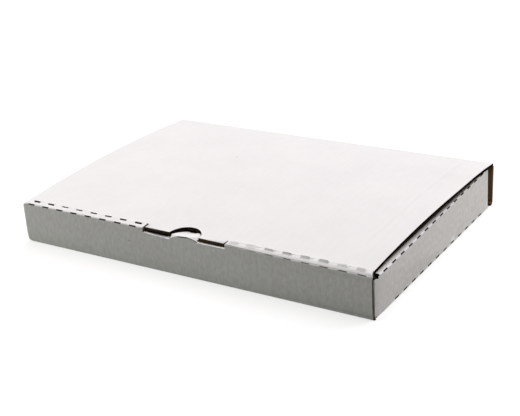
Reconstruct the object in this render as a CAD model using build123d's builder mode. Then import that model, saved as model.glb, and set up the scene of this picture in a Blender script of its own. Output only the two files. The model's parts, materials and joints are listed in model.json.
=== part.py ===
"""Flat die-cut corrugated mailer box, closed: a folded tray and its hinged lid.

Front faces -Y, the lid hinges at the back (+Y), the floor lies on Z = 0.
One sheet of board makes both pieces; they part at the lid's hinge crease.
"""

import os

from build123d import *

# Overall sizes of the closed box
box_width = 322.0
box_depth = 232.0
front_height = 35.0

# The corrugated board and the air left between two plies
board = 2.5
ply_gap = 0.3

# Outer radius of a plain fold, and of the sharper ones: perforated creases, lid edges and the tongue
fold_radius = 2.8
crease_radius = 1.2
lid_fold_radius = 0.8
hinge_fold_radius = 1.1
tongue_fold_radius = 1.0

# Front wall: rolled over at the top, its rear crease stands a little higher
strip_lift = 1.2

# Side walls: lower than the front, so the lid lies on them
lid_top = 34.6
side_ply_gap = 1.0
side_rear_gap = 6.8
corner_flap_length = 42.0
corner_flap_drop = 2.4

# Locking tabs on the inner plies, set into slots in the floor
lock_tab_length = 36.0
front_lock_offset = 85.0
side_lock_offset = 58.0

# Notch in the front wall for the lid's tab, and the thumb tongue bent in
notch_width = 75.0
notch_depth = 3.8
tongue_radius = 12.6
tongue_slope = 11.0
tongue_arch_radius = 27.0

# Lid: rises to its hinge and bows up over its depth, with a tab, a thumb cut and two tuck flaps
lid_side_inset = 2.0
hinge_rise = 1.4
lid_bow = 4.4
tab_reach = 5.4
tab_clearance = 0.9
thumb_radius = 13.5
tuck_depth = 24.0
tuck_lean = 1.6
tuck_side_clearance = 6.0
tuck_corner_radius = 9.0

# Perforated creases
slit_length = 6.5
slit_width = 1.1
slit_depth = 3.2
slit_end_margin = 9.0
front_slit_pitch = 15.0
front_slit_inset = 9.3
strip_slit_inset = 7.4
side_slit_pitch = 14.5
side_slit_inset = 20.0
floor_slit_pitch = 14.9
floor_slit_inset = 37.6
floor_slit_angle = 8.0

# Worked-out places
side = box_width / 2
front = -box_depth / 2
back = box_depth / 2
lid_underside = lid_top - board
wall_top = lid_underside - ply_gap
ply_bottom = board + ply_gap
front_wall = 3 * board + 2 * ply_gap
side_wall = 2 * board + side_ply_gap
front_inner_face = front + front_wall
side_inner_face = side - side_wall
flap_front = front + board + ply_gap
side_rear = back - side_rear_gap
flap_top = wall_top - corner_flap_drop
side_start = front_inner_face + ply_gap
bevel_point = crease_radius * (1 - 0.5**0.5)
notch_floor = front_height - notch_depth
tongue_crown = front_height - ply_gap
front_ply_middle = front_inner_face - board / 2
side_ply_middle = side_inner_face + board / 2
front_crease = (front + bevel_point, front_height - bevel_point)
strip_rear = (front_inner_face - board, front_height + strip_lift)
lid_half_width = side - lid_side_inset
lid_rear = back - ply_gap
lid_front = front_inner_face + ply_gap
lid_middle = (lid_front + lid_rear) / 2
hinge_top = lid_top + hinge_rise
lid_crown = (lid_top + hinge_top) / 2 + lid_bow
tuck_inner_end = notch_width / 2 + tab_clearance
tuck_outer_end = side_inner_face - tuck_side_clearance


def plane_across(offset):
    """Plane normal to X at the given place, its sketch axes along Y and Z."""
    return Plane(origin=(offset, 0, 0), x_dir=(0, 1, 0), z_dir=(1, 0, 0))


def plane_along(offset):
    """Plane normal to Y at the given place, its sketch axes along X and Z."""
    return Plane(origin=(0, offset, 0), x_dir=(1, 0, 0), z_dir=(0, -1, 0))


def folded_board(*corners, radius=fold_radius):
    """Draw the outline of folded board: its outer face runs through the corners, the board on its left."""
    outer = [Vector(*corner) for corner in corners]
    runs = [(after - before).normalized() for before, after in zip(outer, outer[1:])]
    lefts = [run.rotate(Axis.Z, 90) for run in runs]
    inner = [outer[0] + lefts[0] * board]
    for corner, left, next_left in zip(outer[1:], lefts, lefts[1:]):
        inner.append(corner + (left + next_left) * (board / (1 + left.dot(next_left))))
    inner.append(outer[-1] + lefts[-1] * board)
    FilletPolyline(*outer, radius=radius)
    if radius > board:
        FilletPolyline(*inner, radius=radius - board)
    else:
        Polyline(*inner)
    Line(outer[0], inner[0])
    Line(outer[-1], inner[-1])


def slit_row(first, crease_end, pitch):
    """Places of the slits along a crease, from the first one on to the margin before its end."""
    count = int((crease_end - slit_end_margin - first) // pitch) + 1
    return [first + number * pitch for number in range(count)]


# Slit places along the creases
right_slits = slit_row(notch_width / 2 + front_slit_inset, side, front_slit_pitch)
front_slits = right_slits + [-x for x in right_slits]
right_strip_slits = slit_row(notch_width / 2 + strip_slit_inset, side, front_slit_pitch)
strip_slits = right_strip_slits + [-x for x in right_strip_slits]
side_slits = slit_row(front + side_slit_inset, side_rear, side_slit_pitch)
floor_slits = slit_row(front + floor_slit_inset, side_rear, floor_slit_pitch)

# Thumb tongue: rises from the front ply, then slopes in under the lid's thumb cut
with BuildPart() as tongue:
    with BuildSketch(plane_across(-tongue_radius)):
        with BuildLine():
            crown = Vector(front, tongue_crown)
            tip = crown + Vector(board + tongue_radius, 0).rotate(Axis.Z, -tongue_slope)
            folded_board(tip, crown, (front, notch_floor - board), radius=tongue_fold_radius)
        make_face()
    extrude(amount=2 * tongue_radius)
    # Round end in plan
    with BuildSketch(Plane.XY):
        with Locations((0, front + board)):
            Circle(tongue_radius)
            Rectangle(2 * tongue_radius, board, align=(Align.CENTER, Align.MAX))
    extrude(amount=front_height, mode=Mode.INTERSECT)
    # Arched across its width, as board bent without a crease
    with BuildSketch(plane_along(front)):
        with Locations((0, tongue_crown - tongue_arch_radius)):
            Circle(tongue_arch_radius)
    extrude(amount=-(board + 2 * tongue_radius), mode=Mode.INTERSECT)

# Tray: floor, rolled front wall, single back wall, rolled side walls
with BuildPart() as tray:
    # Front wall: inner ply, top strip and outer ply, then its floor crease
    with BuildSketch(plane_across(-side)):
        with BuildLine():
            folded_board(
                (front_inner_face, ply_bottom),
                (front_inner_face, front_height + strip_lift),
                (front, front_height),
                (front, fold_radius),
                radius=crease_radius,
            )
        make_face()
        with BuildLine():
            folded_board(
                (front, 2 * fold_radius),
                (front, 0),
                (flap_front + fold_radius, 0),
            )
        make_face()
    extrude(amount=box_width)

    # Back wall and its floor crease
    with BuildSketch(plane_across(-side)):
        with BuildLine():
            folded_board(
                (back - 2 * fold_radius, 0),
                (back, 0),
                (back, wall_top + hinge_rise),
            )
        make_face()
    extrude(amount=box_width)

    # The floor creases end at the corners, where the side walls stand
    with Locations((0, (flap_front + side_rear) / 2, 0)):
        with GridLocations(box_width, 0, 2, 1):
            Box(2 * fold_radius, side_rear - flap_front, 2 * ply_bottom, mode=Mode.SUBTRACT)

    # The front wall's inner ply stops short of the side walls' outer plies
    with Locations((0, front_inner_face, ply_bottom)):
        with GridLocations(box_width, 0, 2, 1):
            Box(
                2 * (board + ply_gap),
                front_inner_face - flap_front,
                wall_top - ply_bottom,
                align=(Align.CENTER, Align.MAX, Align.MIN),
                mode=Mode.SUBTRACT,
            )

    # Floor between the creases
    with Locations((0, (front + back) / 2, board / 2)):
        Box(box_width - 2 * fold_radius, box_depth - 2 * fold_radius, board)

    # Both side walls in one run: inner ply, strip, outer ply, floor, and the same again
    with BuildSketch(plane_along(side_start)):
        with BuildLine():
            folded_board(
                (-side_inner_face, ply_bottom),
                (-side_inner_face, wall_top),
                (-side, wall_top),
                (-side, 0),
                (side, 0),
                (side, wall_top),
                (side_inner_face, wall_top),
                (side_inner_face, ply_bottom),
                radius=crease_radius,
            )
        make_face()
    extrude(amount=side_start - (side_rear - fold_radius))

    # Their outer plies run on to the front corner, below the strip
    with BuildSketch(plane_along(flap_front + fold_radius)):
        with BuildLine():
            folded_board((-side, flap_top), (-side, 0), (side, 0), (side, flap_top), radius=crease_radius)
        make_face()
    extrude(amount=flap_front + fold_radius - side_start)

    # Corner flaps folded in from the side walls, the front pair inside the front wall
    with BuildSketch(Plane.XY.offset(ply_bottom)):
        with BuildLine():
            folded_board(
                (side - corner_flap_length, flap_front),
                (side, flap_front),
                (side, side_start),
            )
        make_face()
        with BuildLine():
            folded_board(
                (side, side_rear - 2 * fold_radius),
                (side, side_rear),
                (side - corner_flap_length, side_rear),
            )
        make_face()
        mirror(about=Plane.YZ)
    extrude(amount=flap_top - ply_bottom)

    # Slots in the floor, and the locking tabs of the inner plies standing in them
    with Locations((0, front_ply_middle, board / 2)):
        with GridLocations(2 * front_lock_offset, 0, 2, 1):
            Box(lock_tab_length, board + 2 * ply_gap, board, mode=Mode.SUBTRACT)
    with Locations((0, 0, board / 2)):
        with GridLocations(2 * side_ply_middle, 2 * side_lock_offset, 2, 2):
            Box(board + 2 * ply_gap, lock_tab_length, board, mode=Mode.SUBTRACT)
    with Locations((0, front_ply_middle, ply_bottom)):
        with GridLocations(2 * front_lock_offset, 0, 2, 1):
            Box(lock_tab_length - 2 * ply_gap, board, 2 * board)
    with Locations((0, 0, ply_bottom)):
        with GridLocations(2 * side_ply_middle, 2 * side_lock_offset, 2, 2):
            Box(board, lock_tab_length - 2 * ply_gap, 2 * board)

    # Notch for the lid's tab, deeper in the inner ply to pass the tongue
    with Locations((0, front, notch_floor)):
        Box(
            notch_width,
            front_wall,
            front_height,
            align=(Align.CENTER, Align.MIN, Align.MIN),
            mode=Mode.SUBTRACT,
        )
    with Locations((0, front + board, notch_floor - 2 * board)):
        Box(
            notch_width,
            front_wall,
            front_height,
            align=(Align.CENTER, Align.MIN, Align.MIN),
            mode=Mode.SUBTRACT,
        )
    add(tongue.part)

    # Perforations along the front wall's two creases
    with Locations(*[Location((x, *front_crease), (45, 0, 0)) for x in front_slits]):
        Box(slit_length, slit_width, 2 * slit_depth, mode=Mode.SUBTRACT)
    with Locations(*[(x, *strip_rear) for x in strip_slits]):
        Box(slit_length, slit_width, 2 * slit_depth, mode=Mode.SUBTRACT)

    # Perforations along the side walls' creases, on both sides
    floor_slit_run = Vector(crease_radius, 0).rotate(Axis.Z, -floor_slit_angle)
    for hand in (-1, 1):
        outer_x = hand * (side - bevel_point)
        inner_x = hand * (side_inner_face + bevel_point)
        top_z = wall_top - bevel_point
        foot_x = hand * (side - crease_radius + floor_slit_run.X)
        foot_z = crease_radius + floor_slit_run.Y
        with Locations(*[Location((outer_x, y, top_z), (0, hand * 45, 0)) for y in side_slits]):
            Box(slit_width, slit_length, 2 * slit_depth, mode=Mode.SUBTRACT)
        with Locations(*[Location((inner_x, y, top_z), (0, -hand * 45, 0)) for y in side_slits]):
            Box(slit_width, slit_length, 2 * slit_depth, mode=Mode.SUBTRACT)
        foot_turn = (0, hand * floor_slit_angle, 0)
        with Locations(*[Location((foot_x, y, foot_z), foot_turn) for y in floor_slits]):
            Box(2 * slit_depth, slit_length, slit_width, mode=Mode.SUBTRACT)

# Lid: bowed panel, tab in its plane, thumb cut and two tuck flaps
with BuildPart() as lid:
    # Panel, bowed up over its depth
    with BuildSketch(plane_across(-lid_half_width)):
        with BuildLine():
            ThreePointArc((lid_front, lid_top), (lid_middle, lid_crown), (lid_rear, hinge_top))
            Line((lid_rear, hinge_top), (lid_rear, hinge_top - board))
            ThreePointArc(
                (lid_rear, hinge_top - board),
                (lid_middle, lid_crown - board),
                (lid_front, lid_underside),
            )
            Line((lid_front, lid_underside), (lid_front, lid_top))
        make_face()
    extrude(amount=2 * lid_half_width)

    # Folds at the hinge and at the front
    cross_edges = lid.edges().filter_by(Axis.X)
    hinge_edge = cross_edges.group_by(Axis.Y)[-1].sort_by(Axis.Z)[-1]
    front_edge = cross_edges.group_by(Axis.Y)[0].sort_by(Axis.Z)[-1]
    fillet(hinge_edge, radius=hinge_fold_radius)
    fillet(front_edge, radius=lid_fold_radius)

    # Two tuck flaps lean back from the front fold, one each side of the tab
    with BuildSketch(plane_across(tuck_inner_end)):
        with BuildLine():
            Polyline(
                (lid_front, lid_underside + board / 2),
                (lid_front + tuck_lean, lid_underside - tuck_depth),
                (lid_front + tuck_lean + board, lid_underside - tuck_depth),
                (lid_front + board, lid_underside + board / 2),
                close=True,
            )
        make_face()
    extrude(amount=tuck_outer_end - tuck_inner_end)
    low_corners = lid.edges().filter_by(Axis.Y).group_by(Axis.Z)[0]
    fillet(low_corners, radius=tuck_corner_radius)
    mirror(about=Plane.YZ)

    # Tab in the lid's plane, and the thumb cut through both
    with Locations((0, lid_front + board, lid_underside)):
        Box(
            notch_width - 2 * tab_clearance,
            tab_reach + board,
            board,
            align=(Align.CENTER, Align.MAX, Align.MIN),
        )
    with Locations((0, lid_front - tab_reach, lid_top)):
        Cylinder(thumb_radius, 4 * board, mode=Mode.SUBTRACT)

tray.part.label = "tray"
lid.part.label = "lid"

os.makedirs("parts", exist_ok=True)
export_step(tray.part, "parts/tray.step")
export_step(lid.part, "parts/lid.step")
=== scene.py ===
"""Looks of a closed corrugated mailer box: white-lined board, kraft inside, fluted cut edges."""

import json
import math
import random

import bmesh
import bpy
from mathutils import Matrix, Vector
from mathutils.bvhtree import BVHTree


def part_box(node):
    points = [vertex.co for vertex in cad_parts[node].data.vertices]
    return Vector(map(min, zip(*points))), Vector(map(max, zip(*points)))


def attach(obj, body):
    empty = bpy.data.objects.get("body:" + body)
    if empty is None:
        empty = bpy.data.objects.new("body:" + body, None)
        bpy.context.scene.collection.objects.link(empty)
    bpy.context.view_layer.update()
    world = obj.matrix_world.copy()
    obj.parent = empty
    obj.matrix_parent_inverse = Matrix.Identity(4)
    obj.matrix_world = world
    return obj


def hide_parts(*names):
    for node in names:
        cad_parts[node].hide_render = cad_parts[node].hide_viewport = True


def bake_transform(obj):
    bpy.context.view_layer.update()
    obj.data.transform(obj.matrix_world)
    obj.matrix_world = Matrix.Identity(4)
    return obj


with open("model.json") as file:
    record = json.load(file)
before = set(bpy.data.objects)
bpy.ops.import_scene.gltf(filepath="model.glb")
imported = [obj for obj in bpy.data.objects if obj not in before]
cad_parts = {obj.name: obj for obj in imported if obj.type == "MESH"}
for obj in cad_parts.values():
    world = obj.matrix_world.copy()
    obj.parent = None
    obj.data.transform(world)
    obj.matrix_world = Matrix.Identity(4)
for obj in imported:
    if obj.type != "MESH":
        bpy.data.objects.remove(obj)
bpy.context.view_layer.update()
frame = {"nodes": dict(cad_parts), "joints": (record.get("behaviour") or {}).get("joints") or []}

MM = 0.001

# Slack for places that should agree
HAIR = 0.1 * MM

# Directions of the cutting planes
ACROSS = (1, 0, 0)
DEEP = (0, 1, 0)
UP = (0, 0, 1)

# Sizes of the board and its folds
BOARD = 2.5 * MM
LINER = 0.35 * MM
FLUTE_PITCH = 6.4 * MM
FOLD_RADIUS = 2.8 * MM
PRESSED_FOLD = 0.7 * MM
WIDE_FOLD = 1.6 * MM
SEAM = 0.3 * MM

# Hollow between the liners at a cut edge: its depth, its draft and the smallest edge that shows it
HOLLOW_DEPTH = 0.9 * MM
HOLLOW_DRAFT = 0.02 * MM
LEAST_EDGE = 60 * MM * MM

# Tray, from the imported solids
tray_low, tray_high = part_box("tray")
SIDE = tray_high.x
FRONT = tray_low.y
BACK = tray_high.y
HINGE_Z = frame["joints"][0]["pos_m"][2]
BACK_TOP = HINGE_Z - SEAM
WALL_TOP = 31.8 * MM
SIDE_WALL = 6 * MM
SIDE_REAR = BACK - 6.8 * MM
FLAP_TOP = 29.4 * MM
FRONT_TOP = 35 * MM
FRONT_WALL = 8.1 * MM
FRONT_PLY = 1.05 * BOARD
STRIP_REAR = FRONT + 5.6 * MM
STRIP_LIFT = 1.2 * MM
NOTCH_HALF = 37.5 * MM
NOTCH_RIGHT = NOTCH_HALF + 1.6 * MM
NOTCH_FLOOR = 31.2 * MM
TONGUE_RADIUS = 12.6 * MM
TONGUE_REACH = 14.6 * MM
TONGUE_CROWN = 34.7 * MM
TONGUE_ARCH = 27 * MM
TONGUE_SLOPE = math.tan(math.radians(11))

# Lid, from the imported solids
lid_low, lid_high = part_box("lid")
LID_SIDE = lid_high.x
LID_FRONT = FRONT + 8.4 * MM
LID_REAR = lid_high.y
LID_UNDERSIDE = 32.1 * MM
LID_RISE = HINGE_Z - LID_UNDERSIDE
LID_BOW = 4.4 * MM
TAB_FRONT = lid_low.y
TAB_HALF = 36.6 * MM
TUCK_SPAN = (38.4 * MM, 149 * MM)
TUCK_CORNER = 9.5 * MM
TUCK_FOOT = lid_low.z
TUCK_LEAN = 1.6 * MM
THUMB_RADIUS = 13.5 * MM

# Perforations along the front edge
SLIT_HALF = 3.25 * MM
FIRST_SLIT = 44.9 * MM
SLIT_PITCH = 15 * MM
SLITS_PER_HALF = 8

# Slack of this one box: rise of its rear right corner, and how far back its front right corner is bent in
CORNER_LIFT = 1.5 * MM
CORNER_BEND = 18 * MM

# Turns, in degrees, past which an edge is shaded sharp
SHARP_FOLD = 38
SHARP_FLUTE = 50

# Tint of the even fill light
FILL_TINT = (0.985, 1, 0.91)

# Floor as the eye sees it: its paper, and the glow that brings it to white
FLOOR_TONE = 0.44
FLOOR_GLOW = 0.66

# Order of the materials on every piece of board
WHITE, KRAFT, CUT, HOLLOW, END = range(5)

# Edge mark for lines that stay crisp
SCORED = "scored"


# Materials


class Finish:
    """A material under construction: its node tree, its shader and short ways to add nodes."""

    def __init__(self, name, roughness, specular=0.5):
        self.material = bpy.data.materials.new(name)
        self.material.use_nodes = True
        self.nodes = self.material.node_tree.nodes
        self.links = self.material.node_tree.links
        self.shader = self.nodes["Principled BSDF"]
        self.shader.inputs["Roughness"].default_value = roughness
        self.shader.inputs["Specular IOR Level"].default_value = specular
        self.place = self.nodes.new("ShaderNodeTexCoord").outputs["Object"]

    def add(self, kind, **settings):
        """New node of a kind, with its properties set."""
        node = self.nodes.new(kind)
        for name, value in settings.items():
            setattr(node, name, value)
        return node

    def math(self, operation, *values):
        """Math node on sockets and numbers; gives its output."""
        node = self.add("ShaderNodeMath", operation=operation)
        for slot, value in enumerate(values):
            if isinstance(value, (int, float)):
                node.inputs[slot].default_value = value
            else:
                self.links.new(value, node.inputs[slot])
        return node.outputs[0]

    def stretched(self, scale):
        """Object coordinates scaled by three numbers."""
        mapping = self.add("ShaderNodeMapping")
        mapping.inputs["Scale"].default_value = scale
        self.links.new(self.place, mapping.inputs["Vector"])
        return mapping.outputs["Vector"]

    def noise(self, scale, detail, stretch=(1, 1, 1)):
        """Noise from 0 to 1 over the object, stretched along its axes."""
        node = self.add("ShaderNodeTexNoise")
        node.inputs["Scale"].default_value = scale
        node.inputs["Detail"].default_value = detail
        self.links.new(self.stretched(stretch), node.inputs["Vector"])
        return node.outputs["Fac"]

    def facing(self, axis):
        """How squarely a face looks along an axis, from 0 to 1."""
        geometry = self.add("ShaderNodeNewGeometry")
        split = self.add("ShaderNodeSeparateXYZ")
        self.links.new(geometry.outputs["True Normal"], split.inputs[0])
        return self.math("ABSOLUTE", split.outputs[axis])

    def washboard(self):
        """Faint ridges over the flutes, which run front to back: counted along X, or up the side walls."""
        split = self.add("ShaderNodeSeparateXYZ")
        self.links.new(self.place, split.inputs[0])
        on_side = self.math("GREATER_THAN", self.facing("X"), 0.7)
        across = self.add("ShaderNodeMix", data_type="FLOAT")
        self.links.new(on_side, across.inputs["Factor"])
        self.links.new(split.outputs["X"], across.inputs["A"])
        self.links.new(split.outputs["Z"], across.inputs["B"])
        turns = self.math("MULTIPLY", across.outputs["Result"], 2 * math.pi / FLUTE_PITCH)
        return self.math("SINE", turns)

    def colours(self, fac, low, high, start=0.3, end=0.7):
        """Colour between two shades by a 0 to 1 value."""
        ramp = self.add("ShaderNodeValToRGB")
        ramp.color_ramp.elements[0].position = start
        ramp.color_ramp.elements[0].color = (*low, 1)
        ramp.color_ramp.elements[1].position = end
        ramp.color_ramp.elements[1].color = (*high, 1)
        self.links.new(fac, ramp.inputs[0])
        return ramp.outputs["Color"]

    def blend(self, fac, first, second, mode="MIX"):
        """Mix of two colours, sockets or constants, by a factor."""
        mix = self.add("ShaderNodeMix", data_type="RGBA", blend_type=mode)
        for value, slot in ((fac, "Factor"), (first, "A"), (second, "B")):
            sockets = [s for s in mix.inputs if s.name == slot and s.enabled]
            if isinstance(value, (int, float)):
                sockets[0].default_value = value
            elif isinstance(value, tuple):
                sockets[0].default_value = (*value, 1)
            else:
                self.links.new(value, sockets[0])
        return next(s for s in mix.outputs if s.enabled)

    def darkened(self, colour, share, pattern, dark):
        """A colour, darker by a share where a 0 to 1 pattern is low."""
        return self.blend(share, colour, self.colours(pattern, dark, (1, 1, 1)), "MULTIPLY")

    def speck(self, colour, place, radius, shade):
        """A small round blemish of another shade at a place on the object."""
        distance = self.add("ShaderNodeVectorMath", operation="DISTANCE")
        self.links.new(self.place, distance.inputs[0])
        distance.inputs[1].default_value = place
        inside = self.add("ShaderNodeMapRange")
        inside.inputs["From Min"].default_value = radius
        inside.inputs["From Max"].default_value = 0.6 * radius
        self.links.new(distance.outputs["Value"], inside.inputs["Value"])
        return self.blend(inside.outputs[0], colour, shade)

    def bump(self, height, distance, strength=1.0, under=None):
        """Bump node for a height, on top of another one; gives its normal."""
        node = self.add("ShaderNodeBump")
        node.inputs["Strength"].default_value = strength
        node.inputs["Distance"].default_value = distance
        self.links.new(height, node.inputs["Height"])
        if under is not None:
            self.links.new(under, node.inputs["Normal"])
        return node.outputs["Normal"]

    def done(self, colour, normal):
        """Joins colour and normal to the shader; gives the material."""
        self.links.new(colour, self.shader.inputs["Base Color"])
        self.links.new(normal, self.shader.inputs["Normal"])
        return self.material


def white_liner():
    """Bleached paper: cloudy and faintly fibrous, with the flutes just showing through, in relief and as
    faint painted shade; upright faces carry darker streaks, partly painted shade.
    """
    finish = Finish("white_liner", roughness=0.7, specular=0.14)
    ridges = finish.washboard()
    clouds = finish.noise(22, 3)
    mottle = finish.noise(160, 4, (1, 0.5, 0.5))
    fibres = finish.noise(900, 4, (1, 0.35, 0.35))
    colour = finish.colours(clouds, (0.845, 0.84, 0.842), (0.872, 0.868, 0.868))
    colour = finish.darkened(colour, 0.05, mottle, (0.62, 0.62, 0.6))
    colour = finish.darkened(colour, 0.04, fibres, (0.55, 0.54, 0.52))
    # Faint painted shade along the flute ridges, on top of their bump.
    flute_painted_shade = finish.math("MULTIPLY", finish.math("MULTIPLY_ADD", ridges, 0.5, 0.5), mottle)
    shades = finish.colours(flute_painted_shade, (1, 1, 1), (0.7, 0.7, 0.69), 0, 0.8)
    colour = finish.blend(0.03, colour, shades, "MULTIPLY")
    # Upright faces get streaky darker runs: partly the paper's own mottle, partly painted shade of the
    # flutes under grazing light, which also leaves them a little darker overall.
    runs = finish.noise(430, 3, (1, 1, 0.5))
    upright_painted_shade = finish.math("MULTIPLY", finish.math("LESS_THAN", finish.facing("Z"), 0.5), 0.36)
    colour = finish.darkened(colour, upright_painted_shade, runs, (0.62, 0.62, 0.58))
    # A speck on the lid, one on the front, and a light scuff at the foot of the right side
    colour = finish.speck(colour, (-47 * MM, 36.8 * MM, 39.4 * MM), 0.8 * MM, (0.45, 0.42, 0.4))
    colour = finish.speck(colour, (-51.5 * MM, FRONT, 21.2 * MM), 0.8 * MM, (0.42, 0.4, 0.38))
    colour = finish.speck(colour, (SIDE, 27 * MM, 2.2 * MM), 5 * MM, (0.98, 0.98, 0.99))
    normal = finish.bump(clouds, 0.5 * MM)
    normal = finish.bump(ridges, 0.025 * MM, under=normal)
    normal = finish.bump(fibres, 0.04 * MM, 0.5, normal)
    return finish.done(colour, normal)


def kraft_liner():
    """Brown unbleached paper with long fibres and darker flecks."""
    finish = Finish("kraft_liner", roughness=0.85, specular=0.1)
    ridges = finish.washboard()
    clouds = finish.noise(30, 4)
    fibres = finish.noise(700, 5, (1, 0.25, 1))
    colour = finish.colours(clouds, (0.19, 0.11, 0.05), (0.25, 0.15, 0.075))
    colour = finish.darkened(colour, 0.45, fibres, (0.5, 0.45, 0.4))
    normal = finish.bump(ridges, 0.05 * MM)
    normal = finish.bump(fibres, 0.05 * MM, 0.6, normal)
    return finish.done(colour, normal)


def board_end():
    """Raw board cut along its flutes: brown and fibrous, with darker runs."""
    finish = Finish("board_end", roughness=0.95, specular=0.1)
    fibres = finish.noise(1300, 4)
    runs = finish.noise(700, 3, (1, 1, 0.1))
    colour = finish.colours(runs, (0.06, 0.046, 0.03), (0.15, 0.117, 0.078))
    colour = finish.darkened(colour, 0.5, fibres, (0.6, 0.57, 0.52))
    return finish.done(colour, finish.bump(fibres, 0.1 * MM, 0.6))


def raw_paper(finish, grain, dark, light, relief, strength):
    """Raw brown paper on a finish: fibres between two shades, with a little relief; the shades given are
    darkened towards black as painted shade.
    """
    fibres = finish.noise(grain, 4)
    colour = finish.colours(fibres, dark, light)
    return finish.done(colour, finish.bump(fibres, relief, strength))


def cut_edge_painted_dark():
    """Raw die-cut paper edge: rough and fibrous, its brown darkened to near black as painted shade of the
    gaps and slits it lines.
    """
    finish = Finish("cut_edge_painted_dark", roughness=0.95, specular=0.1)
    # Brown pushed to near black: painted shade of the narrow gaps and slits.
    return raw_paper(finish, 1500, (0.03, 0.02, 0.012), (0.065, 0.044, 0.028), 0.1 * MM, 0.6)


def flute_hollow_painted_shade():
    """Painted shade of the hollows between the liners at a cut edge: the paper there is coloured near
    black.
    """
    finish = Finish("flute_hollow_painted_shade", roughness=1.0, specular=0.0)
    # Near black: painted shade in the flute hollows.
    return raw_paper(finish, 1200, (0.004, 0.003, 0.002), (0.009, 0.007, 0.005), 0.1 * MM, 0.6)


def fluted_medium_painted_dark():
    """The brown wavy paper between the liners, coloured near black as painted shade within the cut edge."""
    finish = Finish("fluted_medium_painted_dark", roughness=0.9)
    # Near black: painted shade within the cut edge.
    return raw_paper(finish, 1100, (0.012, 0.008, 0.005), (0.028, 0.019, 0.012), 0.05 * MM, 0.5)


# Help for all pieces


def in_scene(name, data):
    """New object for a mesh, lamp or camera, linked to the scene."""
    holder = bpy.data.objects.new(name, data)
    bpy.context.scene.collection.objects.link(holder)
    return holder


def smooth_shaded(mesh, sharp_turn):
    """Shades a mesh smooth, but for edges that turn more than an angle in degrees."""
    mesh.polygons.foreach_set("use_smooth", [True] * len(mesh.polygons))
    mesh.set_sharp_from_angle(angle=math.radians(sharp_turn))


def split_faces(bm, chosen, place, normal):
    """Cuts the chosen faces along a plane."""
    faces = [f for f in bm.faces if chosen(f.calc_center_median(), f.normal)]
    around = {e for f in faces for e in f.edges} | {v for f in faces for v in f.verts}
    bmesh.ops.bisect_plane(bm, geom=faces + list(around), dist=0.001 * MM, plane_co=place, plane_no=normal)


# Sides of the sheet, on merged copies of the CAD solids


def lid_outside(c, n):
    """True on the lid's white side: its top, its hinge edge and the front of its tuck flaps."""
    along_tuck = TUCK_SPAN[0] - MM < abs(c.x) < TUCK_SPAN[1] + MM
    on_tuck = along_tuck and n.y < -0.3 and c.y < LID_FRONT + TUCK_LEAN
    at_hinge = n.y > 0.2 and c.y > LID_REAR - FOLD_RADIUS
    return n.z > 0.3 or on_tuck or at_hinge


def front_wall_outside(c, n):
    """True on the front wall's white side: outer ply, strip, notch and the rear of the inner ply."""
    strip_top = FRONT_TOP + STRIP_LIFT * (c.y - FRONT) / FRONT_WALL
    fold = WIDE_FOLD if c.z < 5 * MM else PRESSED_FOLD
    outer_ply = n.y < -0.5 and c.y < FRONT + fold
    strip = n.z > 0.25 and c.z > strip_top - PRESSED_FOLD
    notch = n.z > 0.25 and abs(c.x) < NOTCH_HALF and c.z > NOTCH_FLOOR - MM
    inner_ply = n.y > 0.5 and c.y > FRONT + FRONT_WALL - 6 * HAIR
    return outer_ply or strip or notch or inner_ply


def side_wall_outside(c, n):
    """True on a side wall's white side: outer ply, strip and the inner face of the inner ply."""
    reach = abs(c.x)
    outward = n.x if c.x > 0 else -n.x
    at_corner = c.y < FRONT + 6 * MM or c.y > SIDE_REAR - 3 * MM
    outer_ply = outward > 0.4 and reach > SIDE - (WIDE_FOLD if at_corner else PRESSED_FOLD)
    strip = n.z > 0.4 and c.z > WALL_TOP - PRESSED_FOLD
    inner_ply = outward < -0.4 and reach < SIDE - SIDE_WALL + PRESSED_FOLD
    return outer_ply or strip or inner_ply


def tray_outside(c, n):
    """True on the tray's white side, which runs over the rolled walls to the faces of their inner plies."""
    corner_flap = 43 * MM
    tongue_zone = 20 * MM
    tongue_low = 28 * MM
    reach = abs(c.x)
    raw_end = c.y < FRONT + FRONT_PLY or c.y > SIDE_REAR + HAIR or c.z > WALL_TOP + HAIR
    if reach > SIDE - HAIR / 2 and raw_end:
        return False
    foot = WIDE_FOLD if abs(c.y) > BACK - 2 * FOLD_RADIUS else PRESSED_FOLD
    lock_tab = n.z < -0.95 and c.z > 2 * HAIR
    if n.z < -0.5 and c.z < foot and not lock_tab:
        return True
    if n.y > 0.5 and c.y > BACK - WIDE_FOLD:
        return True
    if n.y > 0.5 and SIDE_REAR - WIDE_FOLD < c.y < SIDE_REAR + HAIR and reach > SIDE - corner_flap:
        return True
    clear_of_side = reach < SIDE - BOARD - 4 * HAIR or c.z > WALL_TOP
    in_front_ply = c.y < FRONT + BOARD + 2 * HAIR
    if c.y < FRONT + FRONT_WALL + 5 * HAIR and (clear_of_side or in_front_ply):
        return front_wall_outside(c, n)
    if reach < SIDE - SIDE_WALL - MM:
        return n.z > 0.25 and c.y < FRONT + tongue_zone and c.z > tongue_low
    return side_wall_outside(c, n)


def sort_faces(bm, is_outside):
    """Gives each face the material of its side of the sheet; a long way through means a cut edge."""
    bm.normal_update()
    tree = BVHTree.FromBMesh(bm)
    for face in bm.faces:
        middle = face.calc_center_median()
        through = tree.ray_cast(middle - face.normal * 0.01 * MM, -face.normal)[3]
        if is_outside(middle, face.normal):
            face.material_index = WHITE
        elif through is not None and 0.85 * BOARD < through < 1.3 * BOARD:
            face.material_index = KRAFT
        else:
            face.material_index = CUT


def regions(faces):
    """Groups of faces that hang together by their edges, without a sharp turn between them."""
    left = set(faces)
    groups = []
    while left:
        group = []
        edge = [left.pop()]
        while edge:
            face = edge.pop()
            group.append(face)
            near = (other for e in face.edges for other in e.link_faces)
            beside = {other for other in near if other.normal.dot(face.normal) > 0.75}
            beside &= left
            left -= beside
            edge += beside
        groups.append(group)
    return groups


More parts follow.
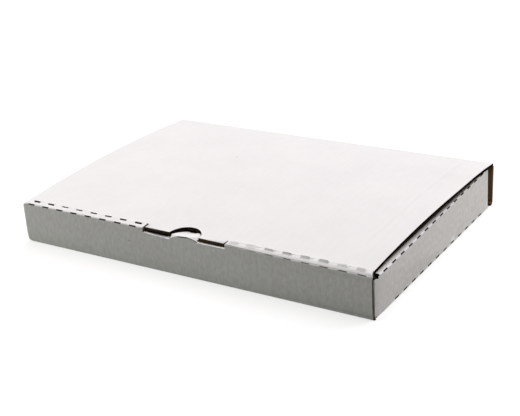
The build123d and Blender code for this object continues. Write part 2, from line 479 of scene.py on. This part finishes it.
def recess_cut_edges(bm, flat_ends=False):
    """Sinks the cut edges between the two liners, where the flutes are hollow; flat ends stay as cut."""
    for group in regions([f for f in bm.faces if f.material_index == CUT]):
        if flat_ends and abs(group[0].normal.x) > 0.9:
            for face in group:
                face.material_index = END
            continue
        if sum(f.calc_area() for f in group) < LEAST_EDGE:
            continue
        bmesh.ops.inset_region(bm, faces=group, thickness=LINER, use_even_offset=False)
        walls = bmesh.ops.inset_region(
            bm, faces=group, thickness=HOLLOW_DRAFT, depth=-HOLLOW_DEPTH, use_even_offset=False
        )
        for face in group + walls["faces"]:
            face.material_index = HOLLOW


def board_copy(node):
    """Merged copy of a CAD node's mesh."""
    bm = bmesh.new()
    bm.from_mesh(frame["nodes"][node].data)
    bmesh.ops.remove_doubles(bm, verts=bm.verts, dist=0.001 * MM)
    return bm


def finish_board(bm, name, body, node):
    """Makes the piece from its bmesh: materials, smooth folds, and its place in the frame."""
    mesh = bpy.data.meshes.new(name)
    bm.to_mesh(mesh)
    bm.free()
    for material in board_materials:
        mesh.materials.append(material)
    smooth_shaded(mesh, SHARP_FOLD)
    if SCORED in mesh.attributes:
        for mark, edge in zip(mesh.attributes[SCORED].data, mesh.edges):
            edge.use_edge_sharp = edge.use_edge_sharp or mark.value == 1
    piece = in_scene(name, mesh)
    normals = piece.modifiers.new("flat_panels", "WEIGHTED_NORMAL")
    normals.keep_sharp = True
    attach(piece, body)
    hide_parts(node)


# Folds, wear and slack of the tray


def fold_reach(angle, size, radius):
    """Way from a fold's inner centre to its skin, for a square fold whose corner is round."""
    low, high = sorted((math.cos(angle), math.sin(angle)))
    arm = size - radius
    if size * low <= arm * high:
        return size / high
    along = arm * (low + high)
    return along + math.sqrt(along * along - 2 * arm * arm + radius * radius)


def reroll(v, forward, upward, size, old, new, share=1.0):
    """Gives a vertex near a front fold the place it has when the fold's radius changes."""
    if forward <= 0 or abs(upward) < 1e-9:
        return
    angle = math.atan2(abs(upward), forward)
    change = share * (fold_reach(angle, size, new) / fold_reach(angle, size, old) - 1)
    v.co.y -= forward * change
    v.co.z += upward * change


def on_front_face(c, n):
    """True on the front wall's outer ply."""
    return c.y < FRONT + MM and n.y < -0.5


def on_strip(c, n):
    """True on the narrow strip along the top of the front wall."""
    return c.y < STRIP_REAR and c.z > FRONT_TOP - 2 * MM and n.z > 0.3


def on_tongue(c, n):
    """True on the top of the thumb tongue."""
    low = 30.5 * MM
    return abs(c.x) < TONGUE_RADIUS + HAIR and c.y < FRONT + TONGUE_REACH and c.z > low and n.z > 0.5


def merge_front_face(bm):
    """Makes the front wall's outer face one polygon, so that later cuts run clean across it."""
    skin = FRONT + 0.01 * MM
    front = {f for f in bm.faces if f.normal.y < -0.999 and f.calc_center_median().y < skin}
    inside = [e for e in bm.edges if len(e.link_faces) == 2 and front.issuperset(e.link_faces)]
    bmesh.ops.dissolve_edges(bm, edges=inside, use_verts=False)


def shape_tongue(bm):
    """The tongue is pressed in, so its left side stands up from its fold, along which a thin band takes the
    near-black cut-edge colour.
    """
    dark_band_depth = 0.9 * MM
    steep = 0.8
    gentle = 0.25
    flatter = 0.05
    for depth in (dark_band_depth, 1.6 * MM, 2.6 * MM, 3.8 * MM, 5.5 * MM, 8 * MM):
        split_faces(bm, on_tongue, (0, FRONT + depth, 0), DEEP)
    # A thin band along the fold gets the near-black cut-edge colour, which paints the dark line there.
    for face in bm.faces:
        c = face.calc_center_median()
        if on_tongue(c, face.normal) and c.y < FRONT + dark_band_depth and c.z > NOTCH_FLOOR + 2 * HAIR:
            face.material_index = CUT
    for v in bm.verts:
        depth = v.co.y - FRONT
        if abs(v.co.x) > TONGUE_RADIUS + HAIR / 2 or not dark_band_depth < depth < TONGUE_REACH:
            continue
        arch = TONGUE_CROWN - TONGUE_ARCH + math.sqrt(TONGUE_ARCH ** 2 - v.co.x ** 2)
        plane = TONGUE_CROWN - TONGUE_SLOPE * depth
        top = min(arch, plane)
        if abs(v.co.z - top) < 4 * HAIR:
            stand = (steep if v.co.x < 0 else gentle) * (depth - dark_band_depth)
            v.co.z += min(arch + stand, plane + flatter * depth) - top


def fit_notch(bm):
    """The notch lies a little to the right, and its floor sags towards the left end of the thumb tongue."""
    sag = -1.2 * MM
    right_rise = 0.6 * MM
    left_shift = 0.5 * MM
    tongue_shift = 0.8 * MM
    tongue_foot = 29.4 * MM
    floor_depth = 3 * MM
    end_depth = 9 * MM
    last_depth = 15 * MM
    for v in bm.verts:
        depth = v.co.y - FRONT
        x = v.co.x
        if depth > last_depth or abs(x) > NOTCH_HALF + HAIR / 2:
            continue
        tongue = abs(x) < TONGUE_RADIUS + HAIR / 2 and v.co.z > tongue_foot
        if tongue or depth < floor_depth and v.co.z > NOTCH_FLOOR - 3 * HAIR:
            if x < -TONGUE_RADIUS:
                v.co.z += sag * (x + NOTCH_HALF) / (NOTCH_HALF - TONGUE_RADIUS)
            elif x < TONGUE_RADIUS:
                v.co.z += sag + (right_rise - sag) * (x + TONGUE_RADIUS) / (2 * TONGUE_RADIUS)
            else:
                v.co.z += right_rise
        if tongue:
            v.co.x += tongue_shift
        elif abs(abs(x) - NOTCH_HALF) < HAIR / 2 and depth < end_depth:
            v.co.x = NOTCH_RIGHT if x > 0 else x + left_shift


def sharpen_side_fold(bm):
    """The right side wall folds sharply where it meets the front wall, and the fold nears the floor."""
    new = MM
    flap_foot = 2.8 * MM
    foot = 1.3 * MM
    for v in bm.verts:
        out = v.co.x - SIDE + FOLD_RADIUS
        ahead = FRONT + BOARD + SEAM + FOLD_RADIUS - v.co.y
        if out <= 0 or ahead < -HAIR / 2 or math.hypot(out, ahead) > FOLD_RADIUS + HAIR / 5:
            continue
        if out > MM and abs(v.co.z - flap_foot) < HAIR:
            v.co.z = foot
        if ahead <= 0:
            continue
        angle = math.atan2(ahead, out)
        change = fold_reach(angle, FOLD_RADIUS, new) / fold_reach(angle, FOLD_RADIUS, FOLD_RADIUS) - 1
        v.co.x += out * change
        v.co.y -= ahead * change


def cut_bend_lines(bm):
    """Cuts the right side wall's outer face where it bends in towards the front."""
    for depth in (CORNER_BEND / 2, CORNER_BEND):
        split_faces(bm, lambda c, n: c.x > SIDE - MM and n.x > 0.9, (0, FRONT + depth, 0), DEEP)


def front_slits():
    """Middles of the slits along the front edge, from left to right."""
    reach = [FIRST_SLIT + number * SLIT_PITCH for number in range(SLITS_PER_HALF)]
    return [-x for x in reversed(reach)] + reach


def shape_strip(bm):
    """Bends the small lands between each pair of slits: down left of the notch, up right of it."""
    dice = random.Random(7)
    spread = 1.3 * MM
    lip = STRIP_REAR - 0.55 * MM
    for x in front_slits():
        for cut_x in (x - SLIT_HALF - spread, x - SLIT_HALF, x + SLIT_HALF, x + SLIT_HALF + spread):
            split_faces(bm, on_strip, (cut_x, 0, 0), ACROSS)
        if x > 0:
            lift = dice.uniform(1.4, 1.9) * MM
        else:
            lift = -dice.uniform(0.7, 1.1) * MM
        for v in bm.verts:
            near = abs(v.co.x - x) < SLIT_HALF + HAIR and v.co.z > FRONT_TOP
            if near and abs(v.co.y - lip) < 3 * HAIR:
                v.co.z += lift


def soften_right_crease(bm):
    """Right of the notch the front edge is rolled over softly, and its slits are nearly shut."""
    size = 5 * MM
    old = 1.2 * MM
    new = 4.4 * MM
    slit_edge = 0.72 * MM
    narrower = 0.3 * MM
    fade = 6 * MM
    split_faces(bm, on_front_face, (NOTCH_RIGHT + 0.5 * MM, 0, 0), ACROSS)
    for z in (30, 31.3, 32.5):
        split_faces(bm, lambda c, n: c.x > 0 and on_front_face(c, n), (0, 0, z * MM), UP)
    for depth in (2.2, 3.1, 4):
        split_faces(bm, lambda c, n: c.x > 0 and on_strip(c, n), (0, FRONT + depth * MM, 0), DEEP)
    for v in bm.verts:
        depth = v.co.y - FRONT
        share = min(max((v.co.x - NOTCH_RIGHT - MM) / fade, 0.0), 1.0)
        if share == 0 or v.co.z < FRONT_TOP - size:
            continue
        if abs(depth - slit_edge) < HAIR and v.co.z > FRONT_TOP:
            v.co.y -= narrower
            v.co.z -= narrower
        reroll(v, FRONT + size - v.co.y, v.co.z - FRONT_TOP + size, size, old, new, share)


def shape_front_foot(bm):
    """The front wall curls in a little towards its lower fold, which is pressed nearly sharp."""
    curl = 0.85 * MM
    height = 14 * MM
    new = 1.2 * MM
    for z in (3.5, 7, 10.5, 14):
        split_faces(bm, on_front_face, (0, 0, z * MM), UP)
    for v in bm.verts:
        if v.co.y > FRONT + 1.2 * FOLD_RADIUS or v.co.z > height:
            continue
        if v.co.z < FOLD_RADIUS:
            reroll(v, FRONT + FOLD_RADIUS - v.co.y, v.co.z - FOLD_RADIUS, FOLD_RADIUS, FOLD_RADIUS, new)
        v.co.y += curl * (1 - max(0.0, v.co.z) / height) ** 2


def round_left_end(bm):
    """The left end of the front wall is worn round at its top and foot."""
    length = 3 * MM
    drop = 1.3 * MM
    fade = 6 * MM
    last_depth = 9 * MM
    for share in (0, 0.35, 0.7):
        cut = (length * (1 - share) - SIDE, 0, 0)
        split_faces(bm, on_front_face, cut, ACROSS)
        split_faces(bm, on_strip, cut, ACROSS)
        split_faces(bm, lambda c, n: c.y < FRONT + FOLD_RADIUS and c.z < FOLD_RADIUS, cut, ACROSS)
    for v in bm.verts:
        worn = drop * max(0.0, 1 - (v.co.x + SIDE) / length) ** 2
        if v.co.y > FRONT + last_depth:
            continue
        if v.co.z > FRONT_TOP - fade:
            v.co.z -= worn * min((v.co.z - FRONT_TOP + fade) / fade, 1.0)
        elif v.co.z < fade and v.co.y < FRONT + FOLD_RADIUS + MM:
            v.co.z += worn * (1 - v.co.z / fade)


def trim_right_corner(bm):
    """At the front right corner the strip ends at a slant, and the side's strip starts further back."""
    slant = 3.6 * MM
    slant_start = MM
    strip_low = 31.5 * MM
    gap = 3.0 * MM
    gap_foot = FLAP_TOP - HAIR / 2
    raised = 1.2 * MM
    side_start = FRONT + FRONT_WALL + SEAM
    for v in bm.verts:
        depth = v.co.y - FRONT
        on_end = v.co.x > SIDE - 0.5 * MM and slant_start < depth < FRONT_WALL + HAIR
        on_wall = v.co.x > SIDE - SIDE_WALL - 2 * HAIR and abs(v.co.y - side_start) < HAIR
        on_flap = v.co.x > SIDE - BOARD - 4 * HAIR and v.co.y < side_start
        if on_end and v.co.z > strip_low:
            v.co.x -= slant * (depth - slant_start) / (FRONT_WALL - slant_start)
        elif on_wall and v.co.z > gap_foot:
            v.co.y += gap * (v.co.z - gap_foot) / (WALL_TOP - gap_foot)
        elif on_flap and abs(v.co.z - FLAP_TOP) < HAIR / 2:
            v.co.z += raised


def open_floor_slits(bm):
    """The slits along the foot of the side walls gape a little."""
    gape = 0.6 * MM
    outer_ply = 4 * MM
    last_slit = 95 * MM
    low = 1.4 * MM
    high = 2.1 * MM
    for v in bm.verts:
        on_wall = abs(v.co.x) > SIDE - outer_ply and abs(v.co.y) < last_slit
        if on_wall and low < v.co.z < high:
            v.co.z += gape


def draw_in_right_corner(bm):
    """The front right corner stands in a little: the front ends short, and the side wall bends in to it."""
    short = 1.1 * MM
    first = BOARD + SEAM
    end_zone = 1.2 * MM
    side_zone = 8 * MM
    for v in bm.verts:
        depth = v.co.y - FRONT
        on_front = v.co.x > SIDE - end_zone and depth < FRONT_PLY
        on_side = v.co.x > SIDE - side_zone and FRONT_PLY < depth < CORNER_BEND
        if v.co.z > 3 * HAIR and (on_front or on_side):
            v.co.x -= short * min(1 - (depth - first) / (CORNER_BEND - first), 1.0) ** 2


def warp_side_walls(bm):
    """Towards the back, where only corner flaps hold them, the side walls lean in, rise and stand askew."""
    lean = 2.4 * MM
    rise = 3.0 * MM
    skew = 5.0 * MM
    pivot = 0.6
    inner_share = 1.2
    left_share = 0.5
    wall_zone = 8 * MM
    flap_zone = 45 * MM
    flap_depth = 6 * MM
    start = FRONT + 20 * MM
    for v in bm.verts:
        reach = abs(v.co.x)
        wall = reach > SIDE - wall_zone
        flap = v.co.y > SIDE_REAR - flap_depth and reach > SIDE - flap_zone
        if v.co.z <= BOARD or v.co.y > SIDE_REAR + MM or not (wall or flap):
            continue
        height = (v.co.z - BOARD) / (WALL_TOP - BOARD)
        along = max(0.0, (v.co.y - start) / (SIDE_REAR - start))
        along *= 1.0 if v.co.x > 0 else left_share
        v.co.y += skew * along * (height - pivot)
        along *= height
        inner = min((SIDE - reach) / SIDE_WALL, 1.0)
        v.co.x -= math.copysign(lean * along, v.co.x)
        v.co.z += rise * along * (1 - inner_share * inner)


def corner_lift(x):
    """How far the hinge edge stands up at a place along it, from nothing at the left."""
    return CORNER_LIFT * (x + LID_SIDE) / (2 * LID_SIDE)


def raise_back_wall(bm):
    """The back wall stands up with the lid's rear right corner."""
    for v in bm.verts:
        if v.co.y > SIDE_REAR + MM and v.co.z > BOARD:
            v.co.z += corner_lift(v.co.x) * (v.co.z - BOARD) / (BACK_TOP - BOARD)


def make_tray():
    """The folded tray, with recessed cut edges, worked lands and side walls out of true."""
    bm = board_copy("tray")
    sort_faces(bm, tray_outside)
    merge_front_face(bm)
    shape_tongue(bm)
    fit_notch(bm)
    sharpen_side_fold(bm)
    cut_bend_lines(bm)
    shape_strip(bm)
    soften_right_crease(bm)
    shape_front_foot(bm)
    round_left_end(bm)
    trim_right_corner(bm)
    open_floor_slits(bm)
    recess_cut_edges(bm, flat_ends=True)
    draw_in_right_corner(bm)
    warp_side_walls(bm)
    raise_back_wall(bm)
    finish_board(bm, "tray_board", "tray", "tray")


# Slack of the lid


def warp_lid(bm):
    """The lid lies a little askew on the tray, and its rear right corner stands up."""
    left = -1.9 * MM
    middle = 0.4 * MM
    right_front = -1.7 * MM
    right_rear = 1.6 * MM
    right_bend = 1.4
    lift_start = 45 * MM
    lift_length = 40 * MM
    for v in bm.verts:
        along = (v.co.y - LID_FRONT) / (LID_REAR - LID_FRONT)
        out = min(abs(v.co.x) / LID_SIDE, 1.0)
        right = right_front + (right_rear - right_front) * max(0.0, along) ** right_bend
        side = left if v.co.x < 0 else right
        v.co.z += corner_lift(v.co.x) * min(max((v.co.y - lift_start) / lift_length, 0.0), 1.0)
        v.co.x += middle * (1 - out) + side * out


def groove_lid(bm):
    """A faint scored line from front to back near the lid's right side."""
    middle = 135 * MM
    half = 1.2 * MM
    depth = 0.26 * MM
    for cut_x in (middle - half, middle, middle + half):
        split_faces(bm, lambda c, n: n.z > 0.5, (cut_x, 0, 0), ACROSS)
    for v in bm.verts:
        if abs(v.co.x - middle) < HAIR / 10 and v.co.z > LID_UNDERSIDE + BOARD - MM:
            v.co.z -= depth
    scored = bm.edges.layers.int.new(SCORED)
    for e in bm.edges:
        e[scored] = all(abs(v.co.x - middle) < half + HAIR / 10 for v in e.verts)


def make_lid():
    """The bowed lid with its recessed cut edges and scored line."""
    bm = board_copy("lid")
    sort_faces(bm, lid_outside)
    recess_cut_edges(bm)
    groove_lid(bm)
    warp_lid(bm)
    finish_board(bm, "lid_board", "lid", "lid")


# Fluted paper in the cut edges, and the hinge crease


def lid_middle_z(y):
    """Height of the middle of the lid's board at a place from front to back."""
    along = max(0.0, (y - LID_FRONT) / (LID_REAR - LID_FRONT))
    return LID_UNDERSIDE + BOARD / 2 + LID_RISE * along + 4 * LID_BOW * along * (1 - along)


def tab_run(first, last):
    """Path along the tab's front edge: the place, the way into the board and the way across it."""

    def at(share):
        place = Vector((first + (last - first) * share, TAB_FRONT, lid_middle_z(TAB_FRONT)))
        return place, Vector((0, 1, 0)), Vector((0, 0, 1))

    return at, abs(last - first)


def thumb_run():
    """Path round the thumb cut."""

    def at(share):
        angle = math.pi * share
        out = Vector((math.cos(angle), math.sin(angle), 0))
        place = Vector((0, TAB_FRONT, 0)) + out * THUMB_RADIUS
        place.z = lid_middle_z(place.y)
        return place, out, Vector((0, 0, 1))

    return at, math.pi * THUMB_RADIUS


def tuck_run(side):
    """Path along a tuck flap's lower edge, between its round corners."""
    first = side * (TUCK_SPAN[0] + TUCK_CORNER)
    last = side * (TUCK_SPAN[1] - TUCK_CORNER)
    y = LID_FRONT + TUCK_LEAN + BOARD / 2

    def at(share):
        place = Vector((first + (last - first) * share, y, TUCK_FOOT))
        return place, Vector((0, 0, 1)), Vector((0, 1, 0))

    return at, abs(last - first)


def wavy_strip(mesh, at, length):
    """Adds one strip of wavy paper along a path to a mesh, set back in the cut edge."""
    swing = BOARD / 2 - LINER - 0.13 * MM
    set_back = 0.12 * MM
    depth = 0.75 * MM
    paper = 0.2 * MM
    steps_per_flute = 10
    bm = bmesh.new()
    share = bm.verts.layers.float.new("share")
    line = bm.edges.new((bm.verts.new((0, 0, 0)), bm.verts.new((1, 0, 0))))
    bmesh.ops.subdivide_edges(bm, edges=[line], cuts=round(length / FLUTE_PITCH * steps_per_flute))
    for v in bm.verts:
        v[share] = v.co.x
        place, inward, across = at(v.co.x)
        wave = swing * math.sin(2 * math.pi * v.co.x * length / FLUTE_PITCH)
        v.co = place + inward * set_back + across * wave
    pulled = bmesh.ops.extrude_edge_only(bm, edges=bm.edges[:])["geom"]
    for v in pulled:
        if isinstance(v, bmesh.types.BMVert):
            v.co += at(v[share])[1] * depth
    bmesh.ops.recalc_face_normals(bm, faces=bm.faces)
    bmesh.ops.solidify(bm, geom=bm.faces[:], thickness=paper)
    warp_lid(bm)
    bm.from_mesh(mesh)
    bm.to_mesh(mesh)
    bm.free()


def flute_ribbons(name, runs):
    """Strips of wavy paper between the liners of the lid's cut edges."""
    mesh = bpy.data.meshes.new(name)
    for at, length in runs:
        wavy_strip(mesh, at, length)
    # The wavy paper's near-black colour is painted shade within the cut edges.
    mesh.materials.append(fluted_medium_painted_dark())
    smooth_shaded(mesh, SHARP_FLUTE)
    piece = in_scene(name, mesh)
    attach(piece, "lid")


def hinge_crease():
    """The unbroken liner between the back wall and the lid, as a thin fixed strip along the hinge."""
    inset = SEAM + 0.1 * MM
    reach = LID_SIDE - 2 * MM
    foot = BACK_TOP - 0.3 * MM
    rows = 6
    step = 0.15 * MM
    thickness = 0.3 * MM
    bm = bmesh.new()
    row = [bm.edges.new([bm.verts.new((x, BACK - inset, foot)) for x in (-reach, reach)])]
    for _ in range(rows):
        pulled = bmesh.ops.extrude_edge_only(bm, edges=row)["geom"]
        row = [g for g in pulled if isinstance(g, bmesh.types.BMEdge)]
        ends = [g for g in pulled if isinstance(g, bmesh.types.BMVert)]
        bmesh.ops.translate(bm, verts=ends, vec=(0, 0, step))
    bmesh.ops.solidify(bm, geom=bm.faces[:], thickness=thickness)
    bmesh.ops.recalc_face_normals(bm, faces=bm.faces)
    for face in bm.faces:
        face.material_index = WHITE if face.normal.y > 0.5 else KRAFT
    for v in bm.verts:
        v.co.z += corner_lift(v.co.x)
    mesh = bpy.data.meshes.new("hinge_crease")
    bm.to_mesh(mesh)
    bm.free()
    for side in (WHITE, KRAFT):
        mesh.materials.append(board_materials[side])
    piece = in_scene("hinge_crease", mesh)
    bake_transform(piece)


# Camera, floor and light


def studio_camera():
    """Camera at the photograph's angle, looking at the middle of the box's floor."""
    image_width = 520
    image_height = 416
    azimuth = math.radians(32.63)
    elevation = math.radians(23.57)
    roll = math.radians(-3.3)
    distance = 924.9 * MM
    focal_pixels = 1085.15
    axis_pixel = (263.16, 222.06)
    camera = bpy.data.cameras.new("photo_camera")
    camera.sensor_fit = "HORIZONTAL"
    camera.lens = focal_pixels * camera.sensor_width / image_width
    camera.shift_x = (image_width / 2 - axis_pixel[0]) / image_width
    camera.shift_y = (axis_pixel[1] - image_height / 2) / image_width
    camera.clip_start = 10 * MM
    holder = in_scene("photo_camera", camera)
    turn = (
        Matrix.Rotation(azimuth, 4, "Z")
        @ Matrix.Rotation(math.pi / 2 - elevation, 4, "X")
        @ Matrix.Rotation(roll, 4, "Z")
    )
    holder.matrix_world = turn @ Matrix.Translation((0, 0, distance))
    bpy.context.scene.camera = holder


def softbox(name, place, aim, size, power, colour):
    """One soft square lamp at a place, turned to the point that it lights."""
    lamp = bpy.data.lights.new(name, "AREA")
    lamp.size = size
    lamp.energy = power
    lamp.color = colour
    holder = in_scene(name, lamp)
    holder.location = place
    holder.rotation_euler = (Vector(aim) - Vector(place)).to_track_quat("-Z", "Y").to_euler()


def skylight(name, direction, strength, angle, colour):
    """A broad, even lamp from far away, for soft shadows."""
    lamp = bpy.data.lights.new(name, "SUN")
    lamp.energy = strength
    lamp.angle = math.radians(angle)
    lamp.color = colour
    holder = in_scene(name, lamp)
    holder.rotation_euler = (-Vector(direction)).to_track_quat("-Z", "Y").to_euler()


def seen_directly(nodes, links):
    """1 for what the eye, gloss or glass sees, 0 for light that falls on the object."""
    path = nodes.new("ShaderNodeLightPath")
    total = path.outputs["Is Camera Ray"]
    for ray in ("Is Glossy Ray", "Is Transmission Ray"):
        more = nodes.new("ShaderNodeMath")
        more.operation = "MAXIMUM"
        links.new(total, more.inputs[0])
        links.new(path.outputs[ray], more.inputs[1])
        total = more.outputs[0]
    return total


def studio_world(fill):
    """White to the eye, a dim even fill to everything else."""
    world = bpy.data.worlds.new("studio")
    bpy.context.scene.world = world
    world.use_nodes = True
    nodes = world.node_tree.nodes
    links = world.node_tree.links
    background = nodes["Background"]
    seen = seen_directly(nodes, links)
    shade = nodes.new("ShaderNodeValToRGB")
    shade.color_ramp.elements[0].color = (*[fill * tint for tint in FILL_TINT], 1)
    shade.color_ramp.elements[1].color = (1, 1, 1, 1)
    links.new(seen, shade.inputs[0])
    links.new(shade.outputs["Color"], background.inputs["Color"])


def studio_floor(bounce):
    """Wide floor, white to the eye with the box's soft shadow, and greyer in the light it throws back."""
    half_width = 6.0
    mesh = bpy.data.meshes.new("floor")
    bm = bmesh.new()
    bmesh.ops.create_grid(bm, x_segments=1, y_segments=1, size=half_width)
    bm.to_mesh(mesh)
    bm.free()
    floor = in_scene("floor", mesh)
    material = bpy.data.materials.new("floor_paper")
    material.use_nodes = True
    nodes = material.node_tree.nodes
    links = material.node_tree.links
    shader = nodes["Principled BSDF"]
    shader.inputs["Roughness"].default_value = 1.0
    shader.inputs["Specular IOR Level"].default_value = 0.0
    seen = seen_directly(nodes, links)
    shade = nodes.new("ShaderNodeMapRange")
    shade.inputs["To Min"].default_value = bounce
    shade.inputs["To Max"].default_value = FLOOR_TONE
    links.new(seen, shade.inputs["Value"])
    links.new(shade.outputs[0], shader.inputs["Base Color"])
    glow = nodes.new("ShaderNodeMath")
    glow.operation = "MULTIPLY"
    glow.inputs[1].default_value = FLOOR_GLOW
    links.new(seen, glow.inputs[0])
    shader.inputs["Emission Color"].default_value = (1, 1, 1, 1)
    links.new(glow.outputs[0], shader.inputs["Emission Strength"])
    mesh.materials.append(material)


board_materials = [white_liner(), kraft_liner(), cut_edge_painted_dark(), flute_hollow_painted_shade(), board_end()]
make_tray()
make_lid()
tab_edges = [tab_run(-TAB_HALF, -THUMB_RADIUS), tab_run(THUMB_RADIUS, TAB_HALF)]
flute_ribbons("edge_flutes", tab_edges + [thumb_run()])
flute_ribbons("tuck_flutes", [tuck_run(-1), tuck_run(1)])
hinge_crease()

bpy.context.scene.view_settings.view_transform = "Standard"
studio_camera()
studio_world(fill=0.21)
studio_floor(bounce=0.12)
skylight("overhead_sky", (0.06, 0.72, 1.0), strength=2.5, angle=80, colour=(1, 0.95, 1.0))
softbox("left_window", (-0.75, -0.6, 0.5), (0, -0.05, 0), size=0.6, power=3.95, colour=(1, 1, 0.94))
softbox("right_window", (0.7, 0.7, 0.12), (0.1, 0, 0), size=0.5, power=4.8, colour=(1, 0.96, 0.905))
